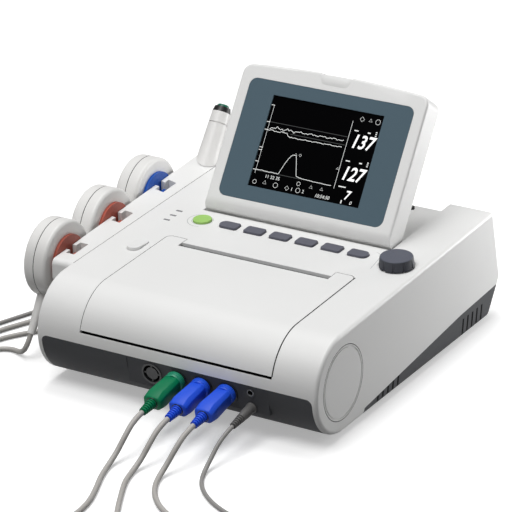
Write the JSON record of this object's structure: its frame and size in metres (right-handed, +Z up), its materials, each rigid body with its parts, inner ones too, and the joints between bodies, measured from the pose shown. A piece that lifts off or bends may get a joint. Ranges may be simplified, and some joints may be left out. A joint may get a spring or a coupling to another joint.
{
  "type": "fetal monitor",
  "caption": "Table-top fetal monitor with a tilting display, paper recorder under a front door, key row, turning knob and a side holder for corded transducers and an event marker.",
  "frame": {"origin": "middle of the footprint of the object without its cords, on the surface it stands on", "axes": "+X to the object's right seen from its front, +Y to the back, +Z up"},
  "size_m": [0.4998, 0.7527, 0.2337],
  "materials": {
    "white_housing": "satin moulded ABS",
    "dark_base": "fine-textured moulded ABS",
    "socket_black": "moulded nylon",
    "slate_keys": "moulded, fine matt",
    "green_key": "moulded silicone",
    "slate_bezel": "printed matt film on sheet",
    "screen": "dark LCD",
    "lens": "clear moulded lens",
    "steel": "turned",
    "rubber_black": "moulded",
    "gear_white": "moulded acetal",
    "circuit": "laminate",
    "metal_case": "sheet",
    "battery": "shrink sleeve",
    "paper": "folded thermal paper",
    "label_red": "moulded",
    "label_scarlet": "moulded",
    "label_blue": "moulded",
    "marker_black": "moulded",
    "marker_green": "moulded",
    "plug_green": "moulded",
    "plug_blue": "moulded",
    "cord_grey": "smooth jacket",
    "tie_black": "hook-and-loop strap"
  },
  "bodies": {
    "housing": {"base_tray": "dark_base", "battery_pack": "battery", "connector_panel": "dark_base", "cord_1_coil": "cord_grey", "cord_1_leads": "cord_grey", "cord_2_coil": "cord_grey", "cord_2_leads": "cord_grey", "cord_3_coil": "cord_grey", "cord_3_leads": "cord_grey", "cord_4_coil": "cord_grey", "cord_4_leads": "cord_grey", "cord_ties": "tie_black", "cover_screws": "steel", "display_bumpers": "rubber_black", "front_sockets": "socket_black", "hinge_pins": "steel", "indicator_lenses": "lens", "knob_encoder": "metal_case", "main_board": "circuit", "mains_inlet": "socket_black", "marker_plug": "cord_grey", "paper_motor": "steel", "paper_pack": "paper", "power_supply": "metal_case", "print_head": "metal_case", "round_plug_1": "plug_green", "round_plug_2": "plug_blue", "round_plug_3": "plug_blue", "rubber_feet": "rubber_black", "side_cap": "white_housing", "top_cover": "white_housing", "transducer_holder": "white_housing"},
    "display": {"display_front_frame": "white_housing", "display_rear_cover": "white_housing", "display_bezel": "slate_bezel", "screen_panel": "screen"},
    "door": {"paper_door": "white_housing"},
    "platen": {"platen_roller": "rubber_black", "platen_gear": "gear_white"},
    "pinion": {"drive_pinion": "gear_white"},
    "latch": {"door_latch": "white_housing"},
    "start_button": {"start_key": "green_key"},
    "spindle": {"knob_spindle": "steel"},
    "knob": {"control_knob": "slate_keys"},
    "marker": {"event_marker": "white_housing", "marker_collar": "marker_black"},
    "marker_push": {"marker_button": "marker_green"},
    "rocker": {"power_rocker": "socket_black"},
    "key_1": {"grey_key_1": "slate_keys"},
    "key_2": {"grey_key_2": "slate_keys"},
    "key_3": {"grey_key_3": "slate_keys"},
    "key_4": {"grey_key_4": "slate_keys"},
    "key_5": {"grey_key_5": "slate_keys"},
    "key_6": {"grey_key_6": "slate_keys"},
    "transducer_1": {"transducer_1_case": "white_housing", "transducer_1_button": "label_red"},
    "transducer_2": {"transducer_2_case": "white_housing", "transducer_2_button": "label_scarlet"},
    "transducer_3": {"transducer_3_case": "white_housing", "transducer_3_button": "label_blue"}
  },
  "joints": [
    {"name": "display_tilt", "type": "hinge", "parent": "housing", "child": "display", "pos_m": [0.0254, 0.0554, 0.1133], "axis": [1, 0, 0], "range_deg": [-55.68, 19.32]},
    {"name": "door_open", "type": "hinge", "parent": "housing", "child": "door", "pos_m": [0.0254, -0.1712, 0.0679], "axis": [1, 0, 0], "range_deg": [0, 75]},
    {"name": "platen_turn", "type": "hinge", "parent": "door", "child": "platen", "pos_m": [0.0254, -0.0446, 0.0912], "axis": [1, 0, 0], "continuous": true},
    {"name": "pinion_turn", "type": "hinge", "parent": "housing", "child": "pinion", "pos_m": [0.1114, -0.04209, 0.07832], "axis": [1, 0, 0], "continuous": true},
    {"name": "latch_press", "type": "slide", "parent": "housing", "child": "latch", "axis": [0, 0.0363, -0.9993], "range_m": [0, 0.002], "stiffness_N_per_m": 400},
    {"name": "start_press", "type": "slide", "parent": "housing", "child": "start_button", "axis": [0, 0.0363, -0.9993], "range_m": [0, 0.001], "stiffness_N_per_m": 500},
    {"name": "knob_push", "type": "slide", "parent": "housing", "child": "spindle", "axis": [0, 0.0363, -0.9993], "range_m": [0, 0.0008], "stiffness_N_per_m": 800},
    {"name": "knob_turn", "type": "hinge", "parent": "spindle", "child": "knob", "pos_m": [0.1479, 0.0139, 0.10521], "axis": [0, -0.0363, 0.9993], "continuous": true},
    {"name": "marker_lift", "type": "slide", "parent": "housing", "child": "marker", "axis": [0, 0.5664, 0.8241], "range_m": [0, 0.05]},
    {"name": "marker_press", "type": "slide", "parent": "marker", "child": "marker_push", "axis": [0, -0.5664, -0.8241], "range_m": [0, 0.002], "stiffness_N_per_m": 400},
    {"name": "rocker_tip", "type": "hinge", "parent": "housing", "child": "rocker", "pos_m": [0.0754, 0.16673, 0.06092], "axis": [1, 0, 0], "range_deg": [0, 20]},
    {"name": "key_1_press", "type": "slide", "parent": "housing", "child": "key_1", "axis": [0, 0.0363, -0.9993], "range_m": [0, 0.001], "stiffness_N_per_m": 500},
    {"name": "key_2_press", "type": "slide", "parent": "housing", "child": "key_2", "axis": [0, 0.0363, -0.9993], "range_m": [0, 0.001], "stiffness_N_per_m": 500},
    {"name": "key_3_press", "type": "slide", "parent": "housing", "child": "key_3", "axis": [0, 0.0363, -0.9993], "range_m": [0, 0.001], "stiffness_N_per_m": 500},
    {"name": "key_4_press", "type": "slide", "parent": "housing", "child": "key_4", "axis": [0, 0.0363, -0.9993], "range_m": [0, 0.001], "stiffness_N_per_m": 500},
    {"name": "key_5_press", "type": "slide", "parent": "housing", "child": "key_5", "axis": [0, 0.0363, -0.9993], "range_m": [0, 0.001], "stiffness_N_per_m": 500},
    {"name": "key_6_press", "type": "slide", "parent": "housing", "child": "key_6", "axis": [0, 0.0363, -0.9993], "range_m": [0, 0.001], "stiffness_N_per_m": 500},
    {"name": "transducer_1_lift", "type": "slide", "parent": "housing", "child": "transducer_1", "axis": [0, 0, 1], "range_m": [0, 0.03]},
    {"name": "transducer_2_lift", "type": "slide", "parent": "housing", "child": "transducer_2", "axis": [0, 0, 1], "range_m": [0, 0.03]},
    {"name": "transducer_3_lift", "type": "slide", "parent": "housing", "child": "transducer_3", "axis": [0, 0, 1], "range_m": [0, 0.03]}
  ],
  "couplings": [
    {"joint": "pinion_turn", "follows": "platen_turn", "ratio": -1.1667}
  ]
}
